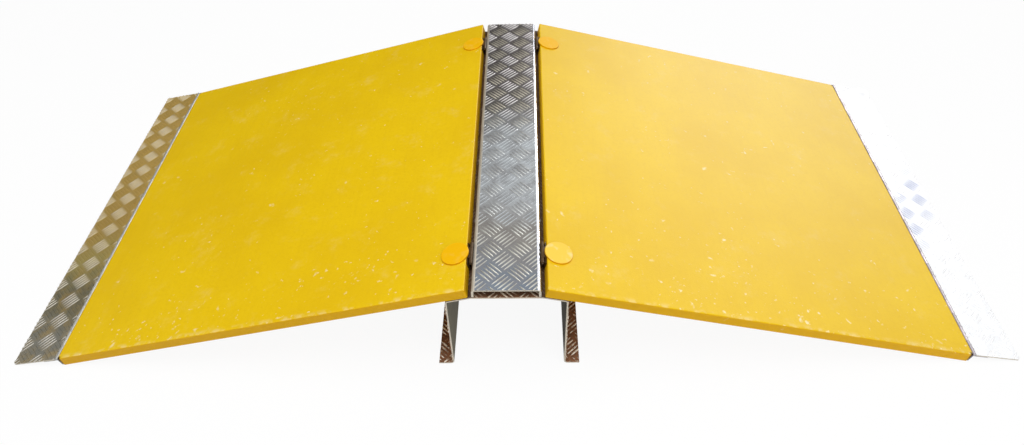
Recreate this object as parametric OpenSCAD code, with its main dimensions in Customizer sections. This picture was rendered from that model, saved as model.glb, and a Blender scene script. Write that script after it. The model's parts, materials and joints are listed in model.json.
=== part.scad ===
// Folding double ramp for crossing a raised sill or pipe.
// Two hinged yellow decks lean on a folded chequer-plate saddle, and each ends in a hinged floor lip.
// X runs along the ramp, Y across it, Z up, in millimetres. The origin is on the floor, at the middle.

/* [Ramp] */
// Width of the ramp, across the way it is driven
ramp_width = 700; // [600:10:900]
// Slope of both decks, in degrees
slope = 14; // [13:0.5:15]

/* [Decks] */
// Length of one deck along its slope
deck_length = 656; // [560:4:760]
// Thickness of a deck
deck_t = 16.5; // [16:0.5:20]
// Thickness of the yellow moulding that forms a deck's top and edges
skin_t = 3; // [2.5:0.5:3.5]
// Thickness of the sheet that closes a deck from below
base_t = 2.5; // [2.3:0.1:3]
// Rounding of the moulding's top edges and corners
edge_r = 1.8; // [1:0.2:2.4]
// Width of the rail along the inner end of a deck, where the hinge straps bolt on
inner_rail_w = 45; // [40:1:60]
// Width of the rail along the outer end of a deck, where the lip hinge screws on
outer_rail_w = 30; // [24:1:45]
// Number of lengthwise ribs between the rails
rib_count = 3; // [1:1:5]
// Width of one rib
rib_w = 24; // [16:1:40]

/* [Chequer sheet] */
// Thickness of the chequer sheet, measured over its raised bars
sheet_t = 3.5; // [3:0.1:4]
// Height of the raised bars above the plain sheet
bar_h = 1.2; // [0.8:0.1:1.4]
// Inside radius of the sheet's folds
fold_r = 2.5; // [2:0.5:3.5]

/* [Saddle] */
// Width over the two legs
leg_spread = 174; // [160:1:200]
// Width of the foot that turns outward from each leg
foot_w = 20; // [14:1:30]
// Play between a deck's underside and the wing under it
seat_gap = 0.1; // [0.05:0.05:0.3]

/* [Ridge cover] */
// Width of the ridge cover
cover_width = 96.6; // [90:0.2:110]
// Height of the cover's top above the decks' inner edges
cover_step = 0.3; // [0:0.1:1]
// Inside radius of the cover's two folds
cover_fold_r = 1.5; // [1:0.5:2]
// Gap between the cover's side and a deck's top edge
ridge_gap = 9.2; // [9:0.1:11]
// Distance from the cover's side to where the saddle starts to slope
slope_start = 2; // [1.8:0.1:3]
// Thickness of the angle strips that join the cover to the saddle
angle_t = 2; // [1.5:0.5:2.5]
// Height of the angle strips
angle_h = 10.5; // [9.5:0.5:11]
// Width of the angle strips' flat side
angle_w = 15; // [13:1:20]
// Distance that the angle strips stop short of the cover's open ends
angle_setback = 40; // [30:5:45]

/* [Deck hinges] */
// Distance of each hinge and its cap from the deck's front or back edge
hinge_inset = 70; // [50:5:110]
// Width of a hinge
hinge_w = 40; // [36:1:50]
// Width of the strap's own knuckle, between the bracket's two
strap_knuckle_w = 20; // [14:1:24]
// Radius of the hinge knuckles
knuckle_r = 2.5; // [2.4:0.1:2.6]
// Diameter of the hinge pins
pin_d = 2.4; // [2:0.1:2.8]
// Thickness of the fixed bracket's plate
bracket_t = 1.8; // [1.5:0.1:2]
// Thickness of the folded strap
strap_t = 2; // [1.6:0.1:2]
// Length of the strap under the deck
strap_length = 40; // [34:1:42]
// Play between the strap and the deck it is folded around
strap_gap = 0.2; // [0.2:0.05:0.3]
// Inside radius of the folds in the straps and the angle strips
strap_fold_r = 0.5; // [0.3:0.1:0.6]

/* [Bolts and caps] */
// Distance of the strap bolts from the deck's inner edge
bolt_inset = 17; // [16.5:0.1:19]
// Diameter of the strap bolts
bolt_d = 8; // [6:1:8]
// Diameter of the bolts' sunk heads
bolt_head_d = 12; // [11:1:14]
// Width of the thin nut across its flats
nut_af = 13; // [12:1:14]
// Height of the thin nut
nut_h = 4; // [3:0.5:4]
// Diameter of the washer under the nut
washer_d = 22; // [19:1:22]
// Thickness of the washer
washer_t = 1.6; // [1:0.1:1.6]
// Diameter of the sunk pocket that the cap closes
pocket_d = 24; // [23.5:0.5:26]
// Depth of that pocket below the deck's top
pocket_depth = 7; // [6.6:0.1:7.5]
// Diameter of the cap
cap_d = 41.6; // [38:0.2:41.6]
// Thickness of the cap's disc
cap_t = 2.6; // [2:0.1:2.8]
// Depth of the cap's ring inside the pocket
cap_ring_depth = 1.3; // [1:0.1:1.4]
// Thickness of the cap's ring
cap_ring_t = 2; // [1.5:0.1:2.4]
// Rounding of the cap's top edge
cap_round_r = 1.1; // [0.6:0.1:1.4]
// Length of a strap bolt's thread past its nut
thread_past_nut = 0.5; // [0:0.1:0.8]

/* [Lips] */
// Length of a lip, from its hinge's axis to its outer edge
lip_length = 74; // [60:1:100]
// Corner cut of the lip's outer corners
lip_corner = 3; // [1:0.5:6]
// Radius of the lip hinge's knuckles
lip_knuckle_r = 2.3; // [2.2:0.1:2.6]
// Diameter of the lip hinge's pin
lip_pin_d = 2.2; // [1.8:0.1:2.2]
// Thickness of the lip hinge's leaves
leaf_t = 1.2; // [1:0.1:1.2]
// Depth of the lip hinge's axis below the deck's top
lip_axis_depth = 1.2; // [1:0.1:1.6]
// Number of knuckles along the lip hinge
lip_knuckles = 27; // [21:2:35]
// Width of the leaf under the lip
lip_leaf_w = 22; // [16:1:30]
// Distance that the end leaf stops above the deck's underside
end_leaf_lift = 1.5; // [1:0.5:3]
// Number of screws or rivets in each leaf
leaf_fixings = 7; // [5:1:9]

/* [Small fasteners] */
// Diameter of the rivet shanks
rivet_d = 4; // [3.2:0.2:4.4]
// Diameter of the rivet heads
rivet_head_d = 7; // [6:0.2:7.4]
// Height of the rivet heads
rivet_head_h = 1; // [0.6:0.1:1]
// Number of rivets through each angle strip's flat side
floor_rivets = 6; // [4:1:8]
// Number of rivets through each side of the cover between the hinges
flange_rivets = 4; // [2:1:5]
// Distance of the end rivets from the ends of an angle strip
floor_rivet_inset = 30; // [15:5:60]
// Distance of the side rivets from the middle of the nearest hinge
flange_rivet_inset = 70; // [50:5:90]
// Diameter of the leaf screws' shanks
screw_d = 3; // [2.5:0.5:3.5]
// Diameter of the leaf screws' heads
screw_head_d = 6; // [5:0.2:6.4]
// Height of the leaf screws' heads
screw_head_h = 1.6; // [1.2:0.1:1.8]
// Depth of the leaf screws in the outer rail
screw_depth = 16; // [12:1:22]

/* [Fits] */
// Radial clearance of a turning pin
run_gap = 0.05; // [0.02:0.01:0.08]
// Gap between neighbouring knuckles
knuckle_gap = 0.4; // [0.3:0.1:0.6]
// Gap between a knuckle and the plate cut back around it
knuckle_relief = 0.4; // [0.3:0.1:0.5]
// Radial clearance of a fastener in its hole
hole_gap = 0.1; // [0.05:0.05:0.2]

/* [Hidden] */
$fn = 48;
// A length past a face, for a clean cut
past = 1;

// Ridge: the deck's inner top edge, and the heights that follow from it
cover_side = cover_width / 2;
deck_x = cover_side + ridge_gap;
deck_z = deck_length * sin(slope) + deck_t * cos(slope);
cover_top = deck_z + cover_step;
slope_x = cover_side + slope_start;
saddle_z = deck_z - (slope_x - deck_x) * tan(slope) - (deck_t + seat_gap) / cos(slope);

// Saddle legs and feet
leg_x = leg_spread / 2;
foot_x = leg_x + foot_w;
wing_end_z = saddle_z - (leg_x - slope_x) * tan(slope);

// Deck layers, as depths below the deck's top
core_t = deck_t - skin_t - base_t;
base_top = -deck_t + base_t;
ribs_from = skin_t + inner_rail_w;
ribs_to = deck_length - skin_t - outer_rail_w;
inner_width = ramp_width - 2 * skin_t;
core_w = (inner_width - rib_count * rib_w) / (rib_count + 1);

// Deck hinge: its axis beside the cover, and the same axis in the deck's own frame
hinge_x = cover_side + knuckle_r;
hinge_z = cover_top - knuckle_r;
hinge_along = (hinge_x - deck_x) * cos(slope) - (hinge_z - deck_z) * sin(slope);
hinge_up = (hinge_x - deck_x) * sin(slope) + (hinge_z - deck_z) * cos(slope);
hinge_y = ramp_width / 2 - hinge_inset;
side_knuckle_w = (hinge_w - strap_knuckle_w) / 2 - knuckle_gap;
bracket_rivet_z = saddle_z + (angle_h + angle_t) / 2;
bracket_rivet_y = hinge_w / 4;

// Lip hinge: its axis in the deck's frame, then in the ramp's own frame
lip_u = deck_length + lip_knuckle_r;
lip_axis_x = deck_x + lip_u * cos(slope) - lip_axis_depth * sin(slope);
lip_axis_z = deck_z - lip_u * sin(slope) - lip_axis_depth * cos(slope);
lip_under = -lip_knuckle_r + leaf_t;
lip_reach = sqrt(lip_length * lip_length + lip_under * lip_under);
lip_slope = asin(lip_axis_z / lip_reach) - atan(-lip_under / lip_length);
lip_start = lip_knuckle_r + knuckle_relief;
lip_face = lip_under + sheet_t - bar_h;
lip_pitch = ramp_width / lip_knuckles;
end_leaf_bottom = -deck_t + end_leaf_lift;
end_screw_w = (base_top - skin_t) / 2;
lip_rivet_v = (lip_start + lip_leaf_w) / 2 + knuckle_relief;

// ---- Helpers ----

// Evenly spread positions on both sides of zero
function spread(count, span) = [for (i = [0 : count - 1]) (i / (count - 1) - 0.5) * span];

// Points along an arc
function arc(centre, r, from, turn, steps = 8) =
    [for (i = [0 : steps]) centre + r * [cos(from + turn * i / steps), sin(from + turn * i / steps)]];

// One face of a folded sheet. The path follows the first face, and the sheet lies to its right.
// The face asked for is the path itself (depth 0) or the one behind it (depth t).
function folded_face(path, t, r, depth) = [
    for (i = [0 : len(path) - 1])
        let (
            ahead = i < len(path) - 1 ? path[i + 1] - path[i] : path[i] - path[i - 1],
            behind = i > 0 ? path[i] - path[i - 1] : ahead,
            a = ahead / norm(ahead),
            b = behind / norm(behind),
            turn = atan2(b.x * a.y - b.y * a.x, b.x * a.x + b.y * a.y),
            side = turn < 0 ? -1 : 1,
            left = [-b.y, b.x],
            r_path = side < 0 ? r + t : r,
            start = path[i] - b * r_path * tan(abs(turn) / 2),
            centre = start + side * r_path * left
        )
        each abs(turn) < 0.01
            ? [path[i] - depth * left]
            : arc(centre, r_path + side * depth, atan2(-side * left.y, -side * left.x), turn)
];

// Outline of a folded sheet of even thickness
function folded_outline(path, t, r) = concat(
    folded_face(path, t, r, 0),
    let (back = folded_face(path, t, r, t)) [for (i = [len(back) - 1 : -1 : 0]) back[i]]
);

// A flat outline in X and Z, made solid along Y and centred on it
module across(width) {
    rotate([90, 0, 0])
        translate([0, 0, -width / 2])
            linear_extrude(width)
                children();
}

// A round bar or hole along Y, centred on the point given
module rod_y(x, z, r, length, y = 0) {
    translate([x, y, z])
        rotate([90, 0, 0])
            cylinder(r = r, h = length, center = true);
}

// Rivet along Z: its factory head on top of the work, its set head below
module rivet(grip) {
    cylinder(d = rivet_head_d, h = rivet_head_h);
    translate([0, 0, -grip])
        cylinder(d = rivet_d, h = grip);
    translate([0, 0, -grip - rivet_head_h])
        cylinder(d = rivet_head_d, h = rivet_head_h);
}

// Puts a shape at the same place on the left side (-1) or leaves it on the right (1)
module on_side(side) {
    if (side < 0)
        mirror([1, 0, 0]) children();
    else
        children();
}

// The deck's frame: X down the slope from the inner top edge, Z square to the deck
module in_deck(side) {
    on_side(side)
        translate([deck_x, 0, deck_z])
            rotate([0, slope, 0])
                children();
}

// The lip's frame: X along the lip from its hinge axis
module in_lip(side) {
    on_side(side)
        translate([lip_axis_x, 0, lip_axis_z])
            rotate([0, lip_slope, 0])
                children();
}

// ---- Saddle and ridge ----

module saddle_plate() {
    path = [
        [-foot_x, sheet_t], [-leg_x, sheet_t], [-leg_x, wing_end_z], [-slope_x, saddle_z],
        [slope_x, saddle_z], [leg_x, wing_end_z], [leg_x, sheet_t], [foot_x, sheet_t]
    ];
    color("silver")
        difference() {
            across(ramp_width)
                polygon(folded_outline(path, sheet_t, fold_r));
            for (side = [-1, 1], y = floor_rivet_rows())
                translate([side * floor_rivet_x(), y, saddle_z - sheet_t - past])
                    cylinder(d = rivet_d + 2 * hole_gap, h = sheet_t + 2 * past);
        }
}

function angle_length() = ramp_width - 2 * angle_setback;
function floor_rivet_rows() = spread(floor_rivets, angle_length() - 2 * floor_rivet_inset);
function floor_rivet_x() = cover_side - sheet_t - (angle_w + angle_t) / 2;
function flange_rivet_rows() = spread(flange_rivets, 2 * (hinge_y - flange_rivet_inset));

// Holes for the rivets that go through the cover's sides, its angle strips and the hinge brackets
module side_rivet_holes() {
    rows = concat(flange_rivet_rows(), bracket_rivet_rows());
    for (side = [-1, 1], y = rows)
        translate([side * (cover_side - sheet_t), y, bracket_rivet_z])
            rotate([0, 90, 0])
                cylinder(d = rivet_d + 2 * hole_gap, h = 4 * sheet_t, center = true);
}

function bracket_rivet_rows() = [for (y = [-hinge_y, hinge_y], s = [-1, 1]) y + s * bracket_rivet_y];

module ridge_cover() {
    path = [
        [-cover_side, saddle_z], [-cover_side, cover_top],
        [cover_side, cover_top], [cover_side, saddle_z]
    ];
    color("lightgrey")
        difference() {
            across(ramp_width)
                polygon(folded_outline(path, sheet_t, cover_fold_r));
            side_rivet_holes();
        }
}

module ridge_angles() {
    wall = cover_side - sheet_t;
    path = [[wall - angle_w, saddle_z + angle_t], [wall - angle_t, saddle_z + angle_t],
        [wall - angle_t, saddle_z + angle_h]];
    color("gainsboro")
        difference() {
            for (side = [-1, 1])
                on_side(side)
                    across(angle_length())
                        polygon(folded_outline(path, angle_t, strap_fold_r));
            side_rivet_holes();
            for (side = [-1, 1], y = floor_rivet_rows())
                translate([side * floor_rivet_x(), y, saddle_z - past])
                    cylinder(d = rivet_d + 2 * hole_gap, h = angle_t + 2 * past);
        }
}

module ridge_floor_rivets() {
    color("lightgrey")
        for (side = [-1, 1], y = floor_rivet_rows())
            translate([side * floor_rivet_x(), y, saddle_z + angle_t])
                rivet(angle_t + sheet_t);
}

module ridge_flange_rivets() {
    color("lightgrey")
        for (side = [-1, 1], y = flange_rivet_rows())
            on_side(side)
                translate([cover_side, y, bracket_rivet_z])
                    rotate([0, 90, 0])
                        rivet(sheet_t + angle_t);
}

// ---- Deck hinges, fixed half ----

module hinge_brackets(side) {
    plate_bottom = saddle_z + angle_t;
    low_top = hinge_z - knuckle_r - knuckle_relief;
    color("dimgrey")
        on_side(side)
            for (y = [-hinge_y, hinge_y])
                difference() {
                    union() {
                        translate([cover_side, y - hinge_w / 2, plate_bottom])
                            cube([bracket_t, hinge_w, low_top - plate_bottom]);
                        for (s = [-1, 1])
                            translate([cover_side, y + s * (hinge_w - side_knuckle_w) / 2, 0]) {
                                translate([0, -side_knuckle_w / 2, plate_bottom])
                                    cube([bracket_t, side_knuckle_w, hinge_z - plate_bottom]);
                                rod_y(knuckle_r, hinge_z, knuckle_r, side_knuckle_w);
                            }
                    }
                    rod_y(hinge_x, hinge_z, pin_d / 2, hinge_w + 2 * past, y);
                    for (s = [-1, 1])
                        translate([cover_side - past, y + s * bracket_rivet_y, bracket_rivet_z])
                            rotate([0, 90, 0])
                                cylinder(d = rivet_d + 2 * hole_gap, h = bracket_t + 2 * past);
                }
}

module bracket_rivets(side) {
    color("grey")
        on_side(side)
            for (y = bracket_rivet_rows())
                translate([cover_side + bracket_t, y, bracket_rivet_z])
                    rotate([0, 90, 0])
                        rivet(bracket_t + sheet_t + angle_t);
}

module hinge_pins(side) {
    color("grey")
        on_side(side)
            for (y = [-hinge_y, hinge_y])
                rod_y(hinge_x, hinge_z, pin_d / 2, hinge_w, y);
}

// ---- Decks ----

// Outline of a bar's end, with its top corners rounded
module round_topped(width, height, r) {
    difference() {
        translate([-width / 2, -height])
            square([width, height]);
        for (s = [-1, 1])
            translate([s * (width / 2 - r), -r])
                difference() {
                    translate([s > 0 ? 0 : -r - past, 0])
                        square([r + past, r + past]);
                    circle(r = r);
                }
    }
}

// The deck's outside, with rounded top edges and upright corners
module deck_block() {
    middle = deck_length / 2;
    intersection() {
        translate([middle, 0, 0])
            across(ramp_width)
                round_topped(deck_length, deck_t, edge_r);
        translate([middle, 0, 0])
            rotate([0, 0, 90])
                across(deck_length)
                    round_topped(ramp_width, deck_t, edge_r);
        translate([edge_r, -ramp_width / 2, -deck_t])
            linear_extrude(deck_t)
                union() {
                    square([deck_length - 2 * edge_r, ramp_width]);
                    translate([-edge_r, edge_r])
                        square([deck_length, ramp_width - 2 * edge_r]);
                    for (x = [0, deck_length - 2 * edge_r], y = [edge_r, ramp_width - edge_r])
                        translate([x, y])
                            circle(r = edge_r);
                }
    }
}

// Room under the deck for the two straps
module strap_notches() {
    for (y = [-hinge_y, hinge_y])
        translate([-past, y - hinge_w / 2 - knuckle_gap, -deck_t - past])
            cube([strap_length + past + knuckle_gap, hinge_w + 2 * knuckle_gap, base_t + past]);
}

// Puts a shape at each strap bolt of a deck
module at_bolts() {
    for (y = [-hinge_y, hinge_y])
        translate([bolt_inset, y, 0])
            children();
}

module deck_moulding(side) {
    color("gold")
        in_deck(side)
            difference() {
                deck_block();
                translate([skin_t, -inner_width / 2, -deck_t - past])
                    cube([deck_length - 2 * skin_t, inner_width, deck_t - skin_t + past]);
                strap_notches();
                at_bolts()
                    translate([0, 0, -skin_t - past])
                        cylinder(d = pocket_d, h = skin_t + 2 * past);
                at_end_screws()
                    cylinder(d = screw_d + 2 * hole_gap, h = 2 * skin_t + 2 * past, center = true);
            }
}

module deck_base(side) {
    color("goldenrod")
        in_deck(side)
            difference() {
                translate([skin_t, -inner_width / 2, -deck_t])
                    cube([deck_length - 2 * skin_t, inner_width, base_t]);
                strap_notches();
            }
}

module inner_rail(side) {
    color("burlywood")
        in_deck(side)
            difference() {
                translate([skin_t, -inner_width / 2, base_top])
                    cube([inner_rail_w, inner_width, core_t]);
                at_bolts() {
                    translate([0, 0, -pocket_depth])
                        cylinder(d = pocket_d, h = pocket_depth);
                    translate([0, 0, base_top - past])
                        cylinder(d = bolt_d + 2 * hole_gap, h = core_t + past);
                }
            }
}

// Puts a shape at each leaf screw, pointing out of the deck's outer end
module at_end_screws() {
    for (y = end_fixing_rows())
        translate([deck_length, y, end_screw_w])
            rotate([0, 90, 0])
                children();
}

// The end fixings sit at the second knuckle from each end
function end_fixing_rows() = spread(leaf_fixings, (lip_knuckles - 3) * lip_pitch);

module outer_rail(side) {
    color("burlywood")
        in_deck(side)
            difference() {
                translate([ribs_to, -inner_width / 2, base_top])
                    cube([outer_rail_w, inner_width, core_t]);
                at_end_screws()
                    translate([0, 0, -skin_t - screw_depth])
                        cylinder(d = screw_d, h = skin_t + screw_depth);
            }
}

// Side of the nth rib, counted across the deck
function rib_y(n) = -inner_width / 2 + n * rib_w + (n + 1) * core_w;

module deck_ribs(side) {
    color("burlywood")
        in_deck(side)
            for (n = [0 : rib_count - 1])
                translate([ribs_from, rib_y(n), base_top])
                    cube([ribs_to - ribs_from, rib_w, core_t]);
}

module deck_cores(side) {
    color("ivory")
        in_deck(side)
            for (n = [0 : rib_count])
                translate([ribs_from, rib_y(n) - core_w, base_top])
                    cube([ribs_to - ribs_from, core_w, core_t]);
}

// ---- Deck hinges, moving half ----

module hinge_straps(side) {
    top = hinge_up + knuckle_r;
    under = base_top - strap_gap;
    path = [[hinge_along, top], [-strap_gap, top], [-strap_gap, under], [strap_length, under]];
    color("dimgrey")
        in_deck(side)
            for (y = [-hinge_y, hinge_y])
                difference() {
                    union() {
                        translate([0, y, 0])
                            across(hinge_w)
                                polygon(folded_outline(path, strap_t, strap_fold_r));
                        rod_y(hinge_along, hinge_up, knuckle_r, strap_knuckle_w, y);
                    }
                    for (s = [-1, 1])
                        translate([
                            hinge_along - knuckle_r - past,
                            s > 0 ? y + strap_knuckle_w / 2 : y - hinge_w / 2 - past,
                            hinge_up - knuckle_r - past
                        ])
                            cube([
                                -hinge_along + knuckle_r + past - strap_gap - strap_t,
                                (hinge_w - strap_knuckle_w) / 2 + past,
                                2 * knuckle_r + 2 * past
                            ]);
                    rod_y(hinge_along, hinge_up, pin_d / 2 + run_gap, hinge_w + 2 * past, y);
                    translate([bolt_inset, y, under - strap_t])
                        bolt_head_seat(hole_gap);
                }
}

// The sunk head of a strap bolt, or with a gap its seat in the strap
module bolt_head_seat(gap) {
    rotate_extrude()
        polygon([
            [0, gap > 0 ? -past : 0], [bolt_head_d / 2 + gap, gap > 0 ? -past : 0],
            [bolt_head_d / 2 + gap, 0], [bolt_d / 2 + gap, strap_t], [bolt_d / 2 + gap, strap_t + gap],
            [0, strap_t + gap]
        ]);
}

module strap_bolts(side) {
    head_bottom = base_top - strap_gap - strap_t;
    shank_top = -pocket_depth + washer_t + nut_h + thread_past_nut;
    color("silver")
        in_deck(side)
            at_bolts() {
                translate([0, 0, head_bottom])
                    bolt_head_seat(0);
                translate([0, 0, head_bottom + strap_t])
                    cylinder(d = bolt_d, h = shank_top - head_bottom - strap_t);
            }
}

module bolt_washers(side) {
    color("silver")
        in_deck(side)
            at_bolts()
                translate([0, 0, -pocket_depth])
                    difference() {
                        cylinder(d = washer_d, h = washer_t);
                        translate([0, 0, -past])
                            cylinder(d = bolt_d + 2 * hole_gap, h = washer_t + 2 * past);
                    }
}

module bolt_nuts(side) {
    color("silver")
        in_deck(side)
            at_bolts()
                translate([0, 0, -pocket_depth + washer_t])
                    difference() {
                        cylinder(d = nut_af / cos(30), h = nut_h, $fn = 6);
                        translate([0, 0, -past])
                            cylinder(d = bolt_d, h = nut_h + 2 * past);
                    }
}

module bolt_caps(side) {
    r = cap_d / 2;
    ring_r = pocket_d / 2 - hole_gap;
    bore_r = ring_r - cap_ring_t;
    color("orange")
        in_deck(side)
            at_bolts()
                rotate_extrude($fn = 96)
                    polygon(concat(
                        [[0, 0], [bore_r, 0], [bore_r, -cap_ring_depth], [ring_r, -cap_ring_depth],
                            [ring_r, 0], [r, 0]],
                        arc([r - cap_round_r, cap_t - cap_round_r], cap_round_r, 0, 90, 4),
                        [[0, cap_t]]
                    ));
}

// ---- Lip hinge ----

// Middle of the nth knuckle along the lip hinge
function lip_knuckle_y(n) = (n - (lip_knuckles - 1) / 2) * lip_pitch;

module lip_end_leaf(side) {
    low_top = -lip_axis_depth - lip_knuckle_r - knuckle_relief;
    color("silver")
        in_deck(side)
            difference() {
                union() {
                    translate([deck_length, -ramp_width / 2, end_leaf_bottom])
                        cube([leaf_t, ramp_width, low_top - end_leaf_bottom]);
                    for (n = [0 : 2 : lip_knuckles - 1])
                        translate([0, lip_knuckle_y(n), 0]) {
                            translate([deck_length, (knuckle_gap - lip_pitch) / 2, end_leaf_bottom])
                                cube([leaf_t, lip_pitch - knuckle_gap, -lip_axis_depth - end_leaf_bottom]);
                            rod_y(lip_u, -lip_axis_depth, lip_knuckle_r, lip_pitch - knuckle_gap);
                        }
                }
                rod_y(lip_u, -lip_axis_depth, lip_pin_d / 2, ramp_width + 2 * past);
                at_end_screws()
                    cylinder(d = screw_d + 2 * hole_gap, h = 2 * leaf_t + 2 * past, center = true);
            }
}

module leaf_screws(side) {
    color("silver")
        in_deck(side)
            at_end_screws() {
                translate([0, 0, leaf_t])
                    cylinder(d = screw_head_d, h = screw_head_h);
                translate([0, 0, -skin_t - screw_depth])
                    cylinder(d = screw_d, h = skin_t + screw_depth + leaf_t);
            }
}

module lip_pin(side) {
    color("grey")
        in_deck(side)
            rod_y(lip_u, -lip_axis_depth, lip_pin_d / 2, ramp_width - knuckle_gap);
}

// ---- Lips ----

// Places of the rivets along the lip, on the plain face between the raised bars
module at_lip_rivets() {
    for (y = end_fixing_rows())
        translate([lip_rivet_v, y, lip_face])
            children();
}

module lip_plate(side) {
    half = ramp_width / 2;
    color("lightgrey")
        in_lip(side)
            difference() {
                translate([0, 0, lip_under])
                    linear_extrude(sheet_t)
                        polygon([
                            [lip_start, -half], [lip_length - lip_corner, -half],
                            [lip_length, -half + lip_corner], [lip_length, half - lip_corner],
                            [lip_length - lip_corner, half], [lip_start, half]
                        ]);
                at_lip_rivets() {
                    cylinder(d = rivet_head_d + 2 * hole_gap, h = bar_h + past);
                    cylinder(d = rivet_d + 2 * hole_gap, h = 2 * sheet_t + 2 * past, center = true);
                }
            }
}

module lip_leaf(side) {
    color("silver")
        in_lip(side)
            difference() {
                union() {
                    translate([lip_start, -ramp_width / 2, -lip_knuckle_r])
                        cube([lip_leaf_w - lip_start, ramp_width, leaf_t]);
                    for (n = [1 : 2 : lip_knuckles - 2])
                        translate([0, lip_knuckle_y(n), 0]) {
                            translate([0, (knuckle_gap - lip_pitch) / 2, -lip_knuckle_r])
                                cube([lip_leaf_w, lip_pitch - knuckle_gap, leaf_t]);
                            rod_y(0, 0, lip_knuckle_r, lip_pitch - knuckle_gap);
                        }
                }
                rod_y(0, 0, lip_pin_d / 2 + run_gap, ramp_width + 2 * past);
                at_lip_rivets()
                    cylinder(d = rivet_d + 2 * hole_gap, h = 4 * sheet_t, center = true);
            }
}

module lip_rivets(side) {
    color("lightgrey")
        in_lip(side)
            at_lip_rivets()
                rivet(lip_face + lip_knuckle_r);
}

// ---- Nodes ----

saddle_plate();
ridge_cover();
ridge_angles();
ridge_floor_rivets();
ridge_flange_rivets();
for (hand = [[-1, "left"], [1, "right"]]) {
    side = hand[0];
    name = hand[1];
    hinge_brackets(side);
    bracket_rivets(side);
    hinge_pins(side);
    deck_moulding(side);
    deck_base(side);
    deck_ribs(side);
    deck_cores(side);
    inner_rail(side);
    outer_rail(side);
    hinge_straps(side);
    strap_bolts(side);
    bolt_washers(side);
    bolt_nuts(side);
    bolt_caps(side);
    lip_end_leaf(side);
    leaf_screws(side);
    lip_pin(side);
    lip_plate(side);
    lip_leaf(side);
    lip_rivets(side);
}
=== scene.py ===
import json
import math

import bmesh
import bpy
from mathutils import Matrix, Vector


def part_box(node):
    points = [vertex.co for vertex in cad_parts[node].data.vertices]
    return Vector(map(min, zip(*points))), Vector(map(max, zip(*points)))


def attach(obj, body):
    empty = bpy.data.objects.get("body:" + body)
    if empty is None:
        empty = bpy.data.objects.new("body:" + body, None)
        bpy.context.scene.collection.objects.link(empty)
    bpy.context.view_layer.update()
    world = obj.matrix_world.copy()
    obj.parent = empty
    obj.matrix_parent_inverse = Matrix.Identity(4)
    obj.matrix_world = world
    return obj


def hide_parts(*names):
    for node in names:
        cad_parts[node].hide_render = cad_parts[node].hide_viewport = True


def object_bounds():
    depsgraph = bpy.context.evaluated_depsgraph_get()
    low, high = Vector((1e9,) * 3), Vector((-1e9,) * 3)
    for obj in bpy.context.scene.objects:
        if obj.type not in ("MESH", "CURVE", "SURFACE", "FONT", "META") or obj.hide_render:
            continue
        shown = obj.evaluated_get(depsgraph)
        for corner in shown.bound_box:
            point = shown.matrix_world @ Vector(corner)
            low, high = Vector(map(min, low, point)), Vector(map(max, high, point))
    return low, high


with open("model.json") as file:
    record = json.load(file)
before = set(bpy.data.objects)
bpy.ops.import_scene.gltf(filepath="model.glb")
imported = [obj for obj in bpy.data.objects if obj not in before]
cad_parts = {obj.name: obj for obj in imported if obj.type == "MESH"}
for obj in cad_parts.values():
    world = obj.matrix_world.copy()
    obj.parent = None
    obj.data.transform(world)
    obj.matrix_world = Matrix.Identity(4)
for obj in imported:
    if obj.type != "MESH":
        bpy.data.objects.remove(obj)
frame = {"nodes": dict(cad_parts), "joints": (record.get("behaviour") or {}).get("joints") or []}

bl_info = {
    "name": "Folding double ramp",
    "version": (1, 0, 0),
    "blender": (4, 5, 0),
    "location": "View3D > Sidebar > Ramp",
    "description": "Dresses a folding double ramp: chequer sheets, decks, caps and metalwork",
    "category": "Object",
}

CAD_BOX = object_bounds()
RIDGE_LENGTH = CAD_BOX[1][1] - CAD_BOX[0][1]
SIDES = (("left", -1), ("right", 1))


# ---- Settings ----

def length_property(name, words, value):
    """A length in metres, or a row of lengths, that the user may change."""
    if isinstance(value, tuple):
        return bpy.props.FloatVectorProperty(
            name=name, description=words, default=value, size=len(value), unit="LENGTH")
    return bpy.props.FloatProperty(name=name, description=words, default=value, unit="LENGTH")


def angle_property(name, words, degrees):
    """An angle that the user may change."""
    return bpy.props.FloatProperty(
        name=name, description=words, default=math.radians(degrees), subtype="ANGLE")


def power_property(name, words, watts):
    """A lamp's power that the user may change."""
    return bpy.props.FloatProperty(name=name, description=words, default=watts, unit="POWER")


def colour_property(name, words, value):
    """A colour that the user may change."""
    return bpy.props.FloatVectorProperty(
        name=name, description=words, default=value, size=3, subtype="COLOR", min=0, max=1)


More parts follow.
